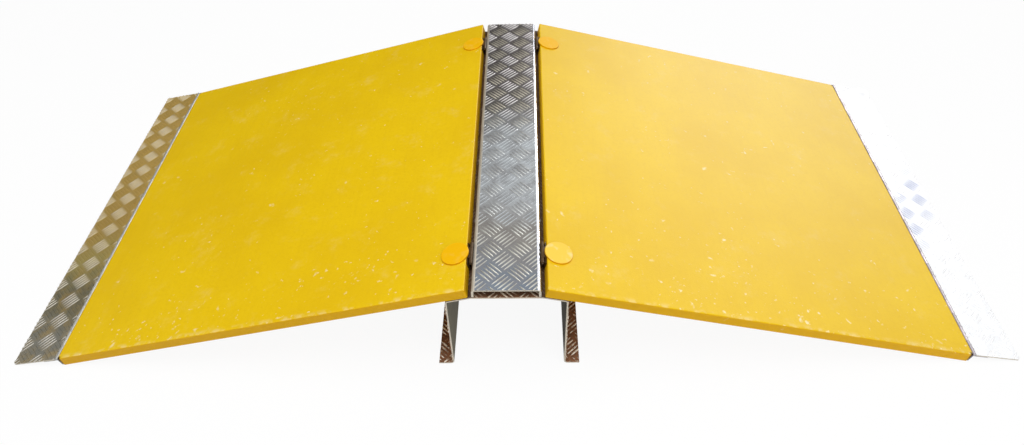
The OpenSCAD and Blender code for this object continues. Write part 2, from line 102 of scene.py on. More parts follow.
class RampSheetSettings(bpy.types.PropertyGroup):
    """Sizes of the five-bar chequer sheet and of its folds."""
    thickness: length_property("Thickness", "Thickness over the raised bars", 0.0035)
    bar_height: length_property("Bar height", "Height of the raised bars", 0.0012)
    bar_length: length_property("Bar length", "Length of one raised bar", 0.0265)
    bar_width: length_property("Bar width", "Width of a bar at its foot", 0.0030)
    bar_spacing: length_property("Bar spacing", "Distance between the bars of one group", 0.0058)
    bars: bpy.props.IntProperty(name="Bars", description="Number of bars in one group", default=5)
    pitch: length_property("Pitch", "Distance at which the pattern repeats", 0.0426)
    lip_pitch: length_property("Lip pitch", "Distance at which the lips' pattern repeats", 0.0411)
    lip_row: length_property(
        "Lip row", "Distance from the hinge to the lips' middle row of groups", 0.0335)
    lip_shift: length_property("Lip shift", "Shift of the lips' pattern along the hinge", 0.0164)
    saddle_shift: length_property(
        "Saddle shift", "Shift of the saddle's pattern across and along the ridge", (-0.0055, 0.0262))
    saddle_skew: angle_property(
        "Saddle skew", "How far off square the saddle was cut from its sheet", -1.66)
    cover_shift: length_property(
        "Cover shift", "Shift of the cover's pattern across and along the ridge", (-0.0026, 0.0025))
    fold_radius: length_property("Fold radius", "Inside radius of the saddle's folds", 0.0025)
    cover_fold_radius: length_property(
        "Cover fold radius", "Inside radius of the cover's folds", 0.0015)
    edge_bevel: length_property("Edge bevel", "Bevel of the sheet's cut edges", 0.00025)


class RampShapeSettings(bpy.types.PropertyGroup):
    """Sizes of the folded pieces that their boxes don't give."""
    slope: angle_property("Slope", "Slope of the decks and wings", 14)
    leg_spread: length_property("Leg spread", "Width over the saddle's legs", 0.174)
    slope_start: length_property("Slope start", "Distance from the cover's side to the wing", 0.002)
    lip_length: length_property("Lip length", "Length of a lip from its hinge axis", 0.074)
    lip_start: length_property("Lip start", "Distance from the hinge axis to the lip's sheet", 0.0027)
    lip_under: length_property(
        "Lip underside", "Height of the lip's underside over its hinge axis", -0.0011)
    lip_corner: length_property("Lip corner", "Corner cut of a lip", 0.003)
    rivet_head: length_property("Rivet head", "Diameter of the rivet heads", 0.007)
    rivet_shank: length_property("Rivet shank", "Diameter of the rivet shanks", 0.004)
    hole_gap: length_property("Hole gap", "Radial clearance round a rivet", 0.0001)


class RampColourSettings(bpy.types.PropertyGroup):
    """Main colour of each finish."""
    deck: colour_property("Deck", "Yellow of the deck mouldings", (0.80, 0.53, 0.003))
    deck_deep: colour_property("Deep deck", "Deeper yellow of the decks' patches", (0.70, 0.43, 0.003))
    # Painted shade: the decks' sides are drawn a deeper orange-yellow than their tops.
    deck_side_shade: colour_property("Deck sides", "Orange-yellow of the decks' sides", (0.7, 0.37, 0.0))
    scuff: colour_property("Scuff", "Pale scuffs on the decks", (0.95, 0.86, 0.58))
    # Painted shade: dark brown at the decks' outer corners.
    corner_shade: colour_property("Stain", "Dark corners at the decks' outer ends", (0.030, 0.014, 0.006))
    # Painted shade: the caps' sides are drawn a deeper orange.
    cap_side_shade: colour_property("Cap rim", "Deeper orange of the caps' sides", (0.72, 0.33, 0.0))
    cap: colour_property("Cap", "Orange-yellow of the caps", (0.85, 0.465, 0.002))
    # Painted light: the cap at the right front is drawn paler.
    cap_lit: colour_property("Faded cap", "Yellow of the cap at the right front", (0.86, 0.60, 0.07))
    # Painted reflection: the cover's face and bars change tone along the ridge, and the bars of one way
    # are lighter than the crossing ones as painted highlight.
    sheet: colour_property("Sheet", "Rolled face of the cover", (0.37, 0.39, 0.405))
    sheet_dark_reflection: colour_property("Dull sheet", "Tarnished face at the cover's back", (0.17, 0.155, 0.15))
    sheet_brown_reflection: colour_property("Worn sheet", "Brownish face near the cover's ends", (0.165, 0.157, 0.145))
    sheet_cool: colour_property("Cool sheet", "Bluish face at the cover's front", (0.09, 0.105, 0.125))
    bar: colour_property("Bars", "Worn tops of the cover's bars", (0.385, 0.41, 0.425))
    bar_back: colour_property("Back bars", "Bars at the cover's back", (0.445, 0.43, 0.425))
    bar_front: colour_property("Front bars", "Bars at the cover's front", (0.40, 0.395, 0.36))
    cross_back: colour_property("Back cross bars", "Crossing bars at the back", (0.37, 0.345, 0.28))
    cross_bar: colour_property("Cross bars", "Crossing bars in the middle", (0.365, 0.375, 0.37))
    cross_front: colour_property("Front cross bars", "Crossing bars at the front", (0.34, 0.335, 0.30))
    # Painted highlight on the cover's right bend.
    bend: colour_property("Bend", "Polished right bend of the cover", (0.74, 0.75, 0.80))
    # Painted dark reflection and painted glints: the saddle's metal is drawn brown, with cream glints on
    # its bars.
    brown_sheet: colour_property("Brown sheet", "Stained face of the saddle", (0.265, 0.13, 0.07))
    brown_bar: colour_property("Brown sheet's bars", "Bars of the stained saddle", (0.95, 0.8, 0.62))
    # Painted shade and painted glints: the legs' bars are dark, with near-white glints.
    leg_bar: colour_property("Leg bars", "Stained bars of the legs and feet", (0.27, 0.145, 0.075))
    leg_shine: colour_property("Leg bars, shiny", "Rubbed spots of those bars", (1.0, 0.94, 0.82))
    # Painted shade: a dark colour on the saddle's wings in the gaps beside the ridge cover.
    gap_shade: colour_property("Grime", "Dirt beside the ridge cover", (0.05, 0.024, 0.008))
    # Painted reflection: both lips are the same metal; the left one is drawn bronze, olive and grey, the
    # right one pale with bluish bars.
    bronze: colour_property("Bronze sheet", "Stained face of the left lip", (0.50, 0.335, 0.09))
    olive_lip: colour_property("Olive sheet", "Left lip between grey and bronze", (0.33, 0.27, 0.09))
    dark_lip: colour_property("Dark sheet", "Dark patch near the left lip's front", (0.14, 0.13, 0.085))
    bronze_bar: colour_property("Bronze bars", "Bars of the left lip", (0.38, 0.325, 0.215))
    grey_bar: colour_property("Grey sheet's bars", "Bars of the cleaner front end", (0.36, 0.34, 0.30))
    grey_lip: colour_property("Grey sheet", "Cleaner front end of the left lip", (0.18, 0.175, 0.145))
    pale_sheet: colour_property("Pale sheet", "Bright face of the right lip", (0.9, 0.91, 0.93))
    pale_bar: colour_property("Pale sheet's bars", "Bars of the right lip", (0.92, 0.92, 0.93))
    blue_bar: colour_property("Bluish bars", "Bars near the right lip's middle", (0.46, 0.50, 0.68))
    bare_edge: colour_property("Bare edge", "Cut edges of the sheets", (0.62, 0.56, 0.46))
    underside: colour_property("Underside", "Plain back of the sheets", (0.135, 0.118, 0.075))
    steel: colour_property("Steel", "Zinc-plated steel", (0.60, 0.60, 0.57))
    mauve_steel: colour_property("Mauve steel", "Right lip's hinge leaves", (0.53, 0.485, 0.53))
    hinge_paint: colour_property("Hinge paint", "Brown paint of the deck hinges", (0.07, 0.038, 0.012))
    wood: colour_property("Wood", "Plywood of the rails and ribs", (0.52, 0.33, 0.16))
    core: colour_property("Core", "Balsa of the deck's core", (0.76, 0.62, 0.42))
    screen: colour_property("Screen", "Dark screen behind the left deck", (0.02, 0.018, 0.015))


class RampStageSettings(bpy.types.PropertyGroup):
    """Camera and lamps."""
    lens: bpy.props.FloatProperty(
        name="Lens", description="Focal length in mm", default=25.48, unit="CAMERA")
    camera: bpy.props.FloatVectorProperty(
        name="Camera", description="Place of the camera", default=(0.0309, -0.9782, 0.9372),
        size=3, subtype="TRANSLATION", unit="LENGTH")
    pitch: angle_property("Pitch", "How far the camera looks down", 45.18)
    yaw: angle_property("Yaw", "How far the camera turns left", 1.81)
    roll: angle_property("Roll", "How far the camera leans", -1.785)
    key_power: power_property("Key", "Power of the overhead softbox", 52)
    side_power: power_property("Side", "Power of the softbox behind the right deck", 155)
    front_power: power_property("Front", "Power of the softbox at the right front", 9)
    ambient: bpy.props.FloatProperty(
        name="Ambient", description="Strength of the light from all round", default=0.42)
    floor_lift: bpy.props.FloatProperty(
        name="Floor lift", description="Share of the floor that shows white", default=0.93,
        subtype="FACTOR", min=0, max=1)
    screen_radius: length_property("Screen radius", "Distance of the dark screen from the ramp", 2.3)
    screen_height: length_property("Screen height", "Height of the dark screen", 1.8)
    screen_rise: length_property("Screen rise", "How much higher the screen's left end is", 0.5)


# ---- Node trees ----

class Wire:
    """A node's output that can be used in sums."""

    def __init__(self, nodes, socket):
        self.nodes = nodes
        self.socket = socket

    def maths(self, operation, *values):
        return self.nodes.node("ShaderNodeMath", {"operation": operation}, dict(enumerate(values)))

    def __add__(self, other):
        return self.maths("ADD", self, other)

    def __radd__(self, other):
        return self.maths("ADD", other, self)

    def __sub__(self, other):
        return self.maths("SUBTRACT", self, other)

    def __rsub__(self, other):
        return self.maths("SUBTRACT", other, self)

    def __mul__(self, other):
        return self.maths("MULTIPLY", self, other)

    def __rmul__(self, other):
        return self.maths("MULTIPLY", other, self)

    def step(self, low, high):
        """0 below low, 1 above high, and smooth between them."""
        settings = {"interpolation_type": "SMOOTHSTEP"}
        return self.nodes.node(
            "ShaderNodeMapRange", settings, {"Value": self, "From Min": low, "From Max": high})

    def beside(self, name):
        """Another output of the same node."""
        return Wire(self.nodes, self.socket.node.outputs[name])


def set_stops(elements, stops):
    """Gives a colour ramp its stops, each a place from 0 to 1 and a colour."""
    while len(elements) < len(stops):
        elements.new(0.5)
    for element, (place, colour) in zip(elements, stops):
        element.position = place
        element.color = (*colour, 1)


class Nodes:
    """A node tree that is built step by step."""

    def __init__(self, tree):
        self.tree = tree
        tree.nodes.clear()

    def node(self, kind, settings=None, inputs=None, out=0):
        """Adds a node, sets it up, links or fills its sockets, and returns one of its outputs."""
        made = self.tree.nodes.new(kind)
        for key, value in (settings or {}).items():
            if key == "stops":
                set_stops(made.color_ramp.elements, value)
            else:
                setattr(made, key, value)
        for key, value in (inputs or {}).items():
            if isinstance(key, int):
                socket = made.inputs[key]
            else:
                socket = next(s for s in made.inputs if key in (s.identifier, s.name))
            if isinstance(value, Wire):
                self.tree.links.new(value.socket, socket)
            elif socket.type == "RGBA":
                socket.default_value = (*value[:3], 1)
            else:
                socket.default_value = value
        for i, socket in enumerate(made.outputs):
            if out in (i, socket.identifier, socket.name):
                return Wire(self, socket)

    def part(self, vector, axis):
        """The X, Y or Z of a vector."""
        return self.node("ShaderNodeSeparateXYZ", None, {0: vector}, axis)


class Surface(Nodes):
    """The nodes of a material or of the world."""

    def __init__(self, owner):
        owner.use_nodes = True
        super().__init__(owner.node_tree)
        self.owner = owner

    def place(self, stretch=(1, 1, 1), turn=0):
        """Object coordinates in metres, turned about Z and stretched."""
        where = self.node("ShaderNodeTexCoord", out="Object")
        return self.node(
            "ShaderNodeMapping", None, {"Vector": where, "Scale": stretch, "Rotation": (0, 0, turn)})

    def axis(self, letter):
        """Distance from the ramp's middle along one axis."""
        return self.part(self.place(), letter)

    def right_half(self):
        """1 right of the ridge and 0 left of it, with a soft change over the ridge."""
        soft = 0.05
        return self.axis("X").step(-soft, soft)

    def upward(self, low, high):
        """0 where the face leans far over and 1 where it looks up."""
        return self.part(self.node("ShaderNodeTexCoord", out="Normal"), "Z").step(low, high)

    def noise(self, where, scale, detail=3, roughness=0.55, distortion=0):
        inputs = {"Vector": where, "Scale": scale, "Detail": detail, "Roughness": roughness,
                  "Distortion": distortion}
        return self.node("ShaderNodeTexNoise", None, inputs)

    def mix(self, share, first, second):
        """Share of the second colour over the first."""
        inputs = {"Factor_Float": share, "A_Color": first, "B_Color": second}
        return self.node("ShaderNodeMix", {"data_type": "RGBA"}, inputs, "Result_Color")

    def bump(self, height, depth, strength):
        return self.node(
            "ShaderNodeBump", None, {"Height": height, "Distance": depth, "Strength": strength})

    def finish(self, **sockets):
        """Ends the tree in a Principled shader. Underscores stand for the spaces of socket names."""
        named = {key.replace("_", " "): value for key, value in sockets.items()}
        shader = self.node("ShaderNodeBsdfPrincipled", None, named)
        self.node("ShaderNodeOutputMaterial", None, {"Surface": shader})
        return self.owner


def material_nodes(name):
    """The empty node tree of a new material."""
    return Surface(bpy.data.materials.new(name))


class Pattern(Nodes):
    """A geometry node tree with named inputs."""

    def __init__(self, name, inputs):
        super().__init__(bpy.data.node_groups.new(name, "GeometryNodeTree"))
        face = self.tree.interface
        for way in ("INPUT", "OUTPUT"):
            face.new_socket("Geometry", in_out=way, socket_type="NodeSocketGeometry")
        for label, kind in inputs:
            face.new_socket(label, in_out="INPUT", socket_type="NodeSocket" + kind)
        self.given = self.node("NodeGroupInput")

    def input(self, label):
        return self.given.beside(label)

    def vector(self, x=0, y=0, z=0):
        return self.node("ShaderNodeCombineXYZ", None, {0: x, 1: y, 2: z})


# ---- Finishes ----

def darker(colour, share):
    """This share of a colour."""
    return tuple(c * share for c in colour)


def even(colour):
    """Tones of a sheet that is the same all along."""
    return ((0, colour), (1, colour))


def deck_finish(name, colours, end, half_width, depth):
    """Gritty glass-fibre face with patches and streaks, and with pale marks nearer the front. Its sides
    and its outer corners are darkened as painted shade.

    The decks reach out to end, and half_width to both sides. The grit is as high as depth.
    """
    worn_strip, rim_width = 0.20, 0.010
    shade_reach, shade_full = 0.006, 0.002
    s = material_nodes(name)
    where, across, right = s.place(), s.axis("X"), s.right_half()
    forward = 0 - s.axis("Y")
    upward = s.upward(0.55, 0.85)
    patches = s.noise(where, 5, 4, 0.6).step(0.35, 0.70)
    streaks = s.noise(s.place((60, 3, 3)), 3, 3, 0.6).step(0.45, 0.75)
    grain = s.noise(where, 520, 2, 0.6)
    mottle = s.noise(where, 190, 3, 0.6).step(0.50, 0.64)
    haze = s.noise(where, 22, 6, 0.75).step(0.52, 0.80)
    colour = colours.deck
    for share in (patches * 0.5, streaks * 0.16, grain.step(0.56, 0.76) * 0.15, mottle * 0.22):
        colour = s.mix(share, colour, colours.deck_deep)
    colour = s.mix(haze * 0.10, colour, colours.scuff)
    # Painted shade: faces that lean over take the deeper orange-yellow of the sides.
    colour = s.mix((1 - upward) * 0.9, colour, colours.deck_side_shade)

    worn_areas = s.noise(where, 8, 2).step(0.46, 0.62)
    scuffs = s.noise(s.place((1, 1.5, 1), 0.5), 75, 4, 0.62, 0.5).step(0.66, 0.76)
    rim = forward.step(half_width - rim_width, half_width) * s.noise(where, 60, 3).step(0.45, 0.66)
    rubbed = scuffs * worn_areas * 0.4 + rim * upward * 0.3
    near_edge = forward.step(half_width - worn_strip, half_width)
    outer = (across * across).step(0.01, 0.10)
    likely = near_edge * (0.037 + 0.018 * outer) + 0.022 * worn_areas
    clusters = (s.noise(where, 17, 3) + likely).step(0.50, 0.66)
    chips = (s.noise(where, 64, 2, 0.5, 0.3) + likely).step(0.715, 0.84)
    specks = (s.noise(where, 130, 2, 0.5) + likely + 0.03 * clusters).step(0.725, 0.83)
    chipped = (chips + specks) * (0.45 + 0.2 * right) * upward
    colour = s.mix(rubbed.maths("MAXIMUM", rubbed, chipped), colour, colours.scuff)

    # Painted shade at the decks' outer corners, darkest at the very corner.
    corner = (across * across).step((end - shade_reach) ** 2, (end - shade_full) ** 2) * (
        forward * forward).step((half_width - shade_reach) ** 2, (half_width - shade_full) ** 2)
    colour = s.mix(corner, colour, colours.corner_shade)
    relief = grain + s.noise(where, 1300, 1) * 0.5
    return s.finish(
        Base_Color=colour, Roughness=0.42 + 0.16 * grain, Normal=s.bump(relief, depth, 0.4),
        Specular_IOR_Level=0.12)


def cap_finish(name, colours):
    """Moulded plastic with a fine grain and rubbed spots. Painted light makes it paler at the right front,
    where the rubbed spots are stronger too, and painted shade makes its sides a deeper orange.
    """
    s = material_nodes(name)
    where, soft = s.place(), 0.1
    grain = s.noise(where, 900, 2)
    rubbed = s.noise(where, 60, 3).step(0.50, 0.70)
    # Painted light at the right front: a paler yellow, with stronger pale spots.
    lit_front_right = s.right_half() * (0 - s.axis("Y")).step(-soft, soft)
    colour = s.mix(lit_front_right * 0.9, colours.cap, colours.cap_lit)
    colour = s.mix(rubbed * (0.05 + 0.3 * lit_front_right), colour, colours.scuff)
    # Painted shade: faces that lean over take the deeper orange of the sides.
    colour = s.mix(1 - s.upward(0.45, 0.92), colour, colours.cap_side_shade)
    return s.finish(
        Base_Color=colour, Roughness=0.40 + 0.15 * grain, Normal=s.bump(grain, 0.0002, 0.2),
        Specular_IOR_Level=0.06)


def beside_cover(surface, side, height):
    """1 on the saddle's wings beside the cover, 0 under it and lower down."""
    soft, fade, full = 0.92, 0.03, 0.015
    across = surface.axis("X")
    outside = (across * across).step(side ** 2 * soft, side ** 2)
    return outside * surface.axis("Z").step(height - fade, height - full)


def rolled_finish(
        name, tones, second, roughness, spread, metallic, cloud_scale=55, gap_shade=None, cloudy=0.45,
        end_tone=None, slant=None):
    """Metal sheet whose tone changes along the ridge, from the front end at 0 to the back end at 1.

    Clouds of the second colour lie over the tones, with hard edges where cloudy is over 1.
    Roughness grows by spread in the rolling lines. The gap shade is a colour of painted shade for the
    wings beside the cover, the cover's side and the ridge's height. Faces that look along the ridge
    take the end_tone. Slant is a place across the ramp, and how far the tones shift along for each
    metre from there.
    """
    s = material_nodes(name)
    where = s.place()
    wander = s.noise(where, 9, 3, 0.6) - 0.5
    stage = s.axis("Y") * (1 / RIDGE_LENGTH) + 0.5 + 0.22 * wander
    if slant:
        stage = stage + (s.axis("X") - slant[0]) * slant[1]
    tone = s.node("ShaderNodeValToRGB", {"stops": tones}, {0: stage})
    clouds = s.noise(where, cloud_scale, 4, 0.6).step(0.38, 0.72)
    lines = s.noise(s.place((260, 8, 260)), 3, 3, 0.6)
    scratches = s.noise(s.place((40, 400, 40), 0.6), 2, 2).step(0.62, 0.72)
    grain = s.noise(where, 700, 2, 0.6)
    shade = s.mix(clouds * cloudy, tone, second)
    shade = s.mix(grain.step(0.55, 0.75) * 0.3, shade, second)
    if gap_shade:
        # Painted shade on the wings in the gaps beside the cover, which also takes away their shine.
        shaded = beside_cover(s, *gap_shade[1:])
        shade = s.mix(shaded * 0.93, shade, gap_shade[0])
        metallic = metallic * (1 - shaded)
    if end_tone:
        facing = s.part(s.node("ShaderNodeNewGeometry", out="True Normal"), "Y")
        shade = s.mix((facing * facing).step(0.9, 0.95), shade, end_tone)
    return s.finish(
        Base_Color=shade, Metallic=metallic, Roughness=roughness + spread * lines - 0.06 * scratches,
        Normal=s.bump(lines + scratches + grain, 0.0001, 0.3), Specular_IOR_Level=0.2)


def metal_finish(name, colour, second, roughness, metallic=1.0, spread=0.15):
    """Rolled, plated or painted metal that is the same all along."""
    return rolled_finish(name, even(colour), second, roughness, spread, metallic)


def wood_finish(name, colour, dark):
    """Plain timber with its grain along the ramp."""
    s = material_nodes(name)
    grain = s.noise(s.place((6, 90, 90)), 4, 5, 0.6, 0.4)
    return s.finish(
        Base_Color=s.mix(grain.step(0.40, 0.70) * 0.6, colour, dark), Roughness=0.72,
        Normal=s.bump(grain, 0.0003, 0.3))


# ---- Mesh helpers ----

def add_object(name, mesh):
    """Puts a new object into the scene, at the origin."""
    made = bpy.data.objects.new(name, mesh)
    bpy.context.scene.collection.objects.link(made)
    return made


def mesh_from(name, points, faces, edges=()):
    """A mesh of these points, with faces or loose edges."""
    mesh = bpy.data.meshes.new(name)
    mesh.from_pydata([tuple(p) for p in points], list(edges), faces)
    mesh.update()
    return mesh


def applied(source, name):
    """A plain mesh object with the source's modifiers in it. The source is removed."""
    evaluated = source.evaluated_get(bpy.context.evaluated_depsgraph_get())
    mesh = bpy.data.meshes.new_from_object(evaluated)
    mesh.name = name
    bpy.data.objects.remove(source)
    return add_object(name, mesh)


def edit(target, change):
    """Runs a change on a bmesh copy of the object's mesh."""
    work = bmesh.new()
    work.from_mesh(target.data)
    change(work)
    work.to_mesh(target.data)
    work.free()
    target.data.update()


def face_outwards(target):
    """Turns the faces of a closed mesh outwards."""
    edit(target, lambda work: bmesh.ops.recalc_face_normals(work, faces=work.faces))


def middles(node):
    """Middle of each separate solid of a CAD node. Its loose triangles are joined where they meet."""
    work = bmesh.new()
    work.from_mesh(frame["nodes"][node].data)
    bmesh.ops.remove_doubles(work, verts=work.verts, dist=1e-6)
    boxes, left = [], set(work.verts)
    while left:
        open_ends, found = [left.pop()], []
        while open_ends:
            point = open_ends.pop()
            found.append(point.co.copy())
            for edge in point.link_edges:
                other = edge.other_vert(point)
                if other in left:
                    left.remove(other)
                    open_ends.append(other)
        boxes.append([Vector(pick(p[i] for p in found) for i in range(3)) for pick in (min, max)])
    work.free()
    boxes.sort(key=lambda box: tuple(box[0]))
    return [(low + high) / 2 for low, high in boxes]


# ---- Folded sheets ----

FACE, EDGES, BACK = range(3)
ARC_STEPS = 8
HOLE_SIDES = 24


def arc(centre, radius, start, turn):
    """Points on an arc, from the angle start on through turn."""
    angles = [start + turn * i / ARC_STEPS for i in range(ARC_STEPS + 1)]
    return [centre + radius * Vector((math.cos(a), math.sin(a))) for a in angles]


def folded_face(path, thickness, radius, depth):
    """A face of a folded sheet, at a depth behind the face that the path follows."""
    points = []
    for i, corner in enumerate(path):
        ahead = path[i + 1] - corner if i < len(path) - 1 else corner - path[i - 1]
        behind = corner - path[i - 1] if i > 0 else ahead
        a, b = ahead.normalized(), behind.normalized()
        turn = math.atan2(b.x * a.y - b.y * a.x, b.dot(a))
        left = Vector((-b.y, b.x))
        if abs(turn) < 1e-4:
            points.append(corner - depth * left)
            continue
        side = -1 if turn < 0 else 1
        at_path = radius + thickness if side < 0 else radius
        centre = corner - b * at_path * math.tan(abs(turn) / 2) + side * at_path * left
        start = math.atan2(-side * left.y, -side * left.x)
        points += arc(centre, at_path + side * depth, start, turn)
    return points


def sheet_between(name, outer, back, half_width, bevel, materials):
    """A folded sheet between its faces, with eased edges. Materials start with FACE, EDGES, BACK."""
    count = len(outer)
    points = []
    for y in (-half_width, half_width):
        points += [(p.x, y, p.y) for p in outer] + [(p.x, y, p.y) for p in back]
    near_back, far, far_back = count, 2 * count, 3 * count
    last = count - 1
    cut_ends = [(0, far, far_back, near_back), (last, near_back + last, far_back + last, far + last)]
    fronts, backs = [], []
    for i in range(last):
        j = i + 1
        fronts.append((i, j, far + j, far + i))
        backs.append((near_back + j, near_back + i, far_back + i, far_back + j))
        cut_ends.append((j, i, near_back + i, near_back + j))
        cut_ends.append((far + i, far + j, far_back + j, far_back + i))
    made = add_object(name, mesh_from(name, points, fronts + cut_ends + backs))
    for material in materials:
        made.data.materials.append(material)
    kinds = [FACE] * len(fronts) + [EDGES] * len(cut_ends) + [BACK] * len(backs)
    made.data.polygons.foreach_set("material_index", kinds)
    face_outwards(made)
    ease = made.modifiers.new("Ease", "BEVEL")
    ease.width = bevel
    ease.segments = 2
    ease.limit_method = "ANGLE"
    ease.angle_limit = math.radians(40)
    return applied(made, name)


def raised_bar(sheet):
    """One bar: a low lens, rounded across, that falls away to both ends."""
    stations = (-1.0, -0.8, -0.45, 0.0, 0.45, 0.8, 1.0)
    profile = ((-1, 0), (-0.62, 0.72), (0, 1), (0.62, 0.72), (1, 0))
    blunt_end, fullness = 0.22, 0.6
    sunk = -0.1 * sheet.bar_height
    points, rows = [], []
    for station in stations:
        fall = 1 - station ** 2
        width = sheet.bar_width / 2 * max(math.sqrt(fall), blunt_end)
        top = sheet.bar_height * fall ** fullness
        rows.append(range(len(points), len(points) + len(profile)))
        x = station * sheet.bar_length / 2
        points += [(x, y * width, sunk + z * (top - sunk)) for y, z in profile]
    faces = []
    for a, b in zip(rows, rows[1:]):
        for k in range(len(profile) - 1):
            faces.append((a[k], b[k], b[k + 1], a[k + 1]))
    faces.append(tuple(rows[0]))
    faces.append(tuple(reversed(rows[-1])))
    faces.append(tuple(r[0] for r in reversed(rows)) + tuple(r[-1] for r in rows))
    made = add_object("raised_bar", mesh_from("raised_bar", points, faces))
    face_outwards(made)
    return made


def run_tree(source, tree, values, name):
    """Puts the tree on the source with these inputs, and returns the result as a plain mesh."""
    modifier = source.modifiers.new("Pattern", "NODES")
    modifier.node_group = tree
    for item in tree.interface.items_tree:
        if item.in_out == "INPUT" and item.name in values:
            modifier[item.identifier] = values[item.name]
    return applied(source, name)


def chequer_tree():
    """One lattice of bar groups, wrapped onto the path that the object's own edges draw."""
    t = Pattern("Chequer bars", [
        ("Bar", "Object"), ("Bars", "Int"), ("Spacing", "Float"), ("Pitch", "Float"),
        ("Cells along", "Int"), ("Cells across", "Int"), ("Middle along", "Float"),
        ("Middle across", "Float"), ("Turn", "Float"), ("Skew", "Float"), ("Material", "Material")])
    bars, spacing, pitch = t.input("Bars"), t.input("Spacing"), t.input("Pitch")
    bar = t.node("GeometryNodeObjectInfo", None, {"Object": t.input("Bar")}, "Geometry")
    row = t.node("GeometryNodeMeshLine", {"mode": "OFFSET"}, {
        "Count": bars, "Start Location": t.vector(y=(bars - 1) * -0.5 * spacing),
        "Offset": t.vector(y=spacing)})
    group = t.node("GeometryNodeInstanceOnPoints", None, {"Points": row, "Instance": bar})
    along, across = t.input("Cells along"), t.input("Cells across")
    lattice = t.node("GeometryNodeMeshGrid", None, {
        "Size X": (along - 1) * pitch, "Size Y": (across - 1) * pitch,
        "Vertices X": along, "Vertices Y": across})
    moved = t.node("GeometryNodeTransform", None, {
        "Geometry": lattice, "Translation": t.vector(t.input("Middle along"), t.input("Middle across")),
        "Rotation": t.vector(z=t.input("Skew"))})
    laid = t.node("GeometryNodeInstanceOnPoints", None, {
        "Points": moved, "Instance": group, "Rotation": t.vector(z=t.input("Turn"))})
    flat = t.node("GeometryNodeRealizeInstances", None, {"Geometry": laid})
    curve = t.node("GeometryNodeMeshToCurve", None, {"Mesh": t.input("Geometry")})
    here = t.node("GeometryNodeInputPosition")
    height = t.part(here, "Z")
    spot = t.node("GeometryNodeSampleCurve", {"mode": "LENGTH", "use_all_curves": True}, {
        "Curves": curve, "Length": t.part(here, "X")}, "Position")
    tangent = spot.beside("Tangent")
    lift = t.vector(
        t.part(tangent, "Z") * -1 * height, t.part(here, "Y"), t.part(tangent, "X") * height)
    place = t.node("ShaderNodeVectorMath", {"operation": "ADD"}, {0: spot, 1: lift})
    bent = t.node("GeometryNodeSetPosition", None, {"Geometry": flat, "Position": place})
    whole = t.node("GeometryNodeRealizeInstances", None, {"Geometry": bent})
    done = t.node("GeometryNodeSetMaterial", None, {
        "Geometry": whole, "Material": t.input("Material")})
    t.node("NodeGroupOutput", None, {"Geometry": done})
    return t.tree


def cut_flush(target, planes):
    """Cuts the mesh at each plane, given as a point and the outward normal, and closes the cuts."""
    def change(work):
        for point, outward in planes:
            everything = list(work.verts) + list(work.edges) + list(work.faces)
            bmesh.ops.bisect_plane(
                work, geom=everything, plane_co=point, plane_no=outward, clear_outer=True, dist=1e-7)
            open_edges = [e for e in work.edges if len(e.link_faces) == 1]
            bmesh.ops.holes_fill(work, edges=open_edges, sides=0)
    edit(target, change)


def drill(target, holes):
    """Cuts round holes, each given as middle, axis, radius and length."""
    if not holes:
        return target
    work = bmesh.new()
    for middle, axis, radius, length in holes:
        turn = Vector((0, 0, 1)).rotation_difference(Vector(axis)).to_matrix().to_4x4()
        bmesh.ops.create_cone(
            work, cap_ends=True, segments=HOLE_SIDES, radius1=radius, radius2=radius, depth=length,
            matrix=Matrix.Translation(middle) @ turn)
    cutter_mesh = bpy.data.meshes.new("cutter")
    work.to_mesh(cutter_mesh)
    work.free()
    cutter = add_object("cutter", cutter_mesh)
    cut = target.modifiers.new("Drill", "BOOLEAN")
    cut.operation = "DIFFERENCE"
    cut.solver = "MANIFOLD"
    cut.object = cutter
    name = target.name
    done = applied(target, name)
    bpy.data.objects.remove(cutter)
    return done


def rivet_holes(node, axis, length):
    """Holes for a node's rivets, as drill takes them."""
    shape = bpy.context.scene.ramp_shape
    radius = shape.rivet_shank / 2 + shape.hole_gap
    return [(middle, axis, radius, length) for middle in middles(node)]


def all_of(target, material):
    """Gives every face of the object one material."""
    faces = target.data.polygons
    target.data.materials.clear()
    target.data.materials.append(material)
    faces.foreach_set("material_index", [0] * len(faces))
    return target


def recolour(target, index, chosen):
    """Gives the chosen faces another of the object's materials."""
    for polygon in target.data.polygons:
        if chosen(polygon):
            polygon.material_index = index


def joined(name, parts):
    """One object from several meshes, with each part's materials kept."""
    materials = []
    work = bmesh.new()
    for part in parts:
        shift = {}
        for i, material in enumerate(part.data.materials):
            if material not in materials:
                materials.append(material)
            shift[i] = materials.index(material)
        before = len(work.faces)
        work.from_mesh(part.data)
        work.faces.ensure_lookup_table()
        for face in work.faces[before:]:
            face.material_index = shift.get(face.material_index, 0)
            face.smooth = True
    mesh = bpy.data.meshes.new(name)
    for material in materials:
        mesh.materials.append(material)
    work.to_mesh(mesh)
    work.free()
    sharp = math.radians(50)
    mesh.set_sharp_from_angle(angle=sharp)
    for part in parts:
        bpy.data.objects.remove(part)
    return add_object(name, mesh)


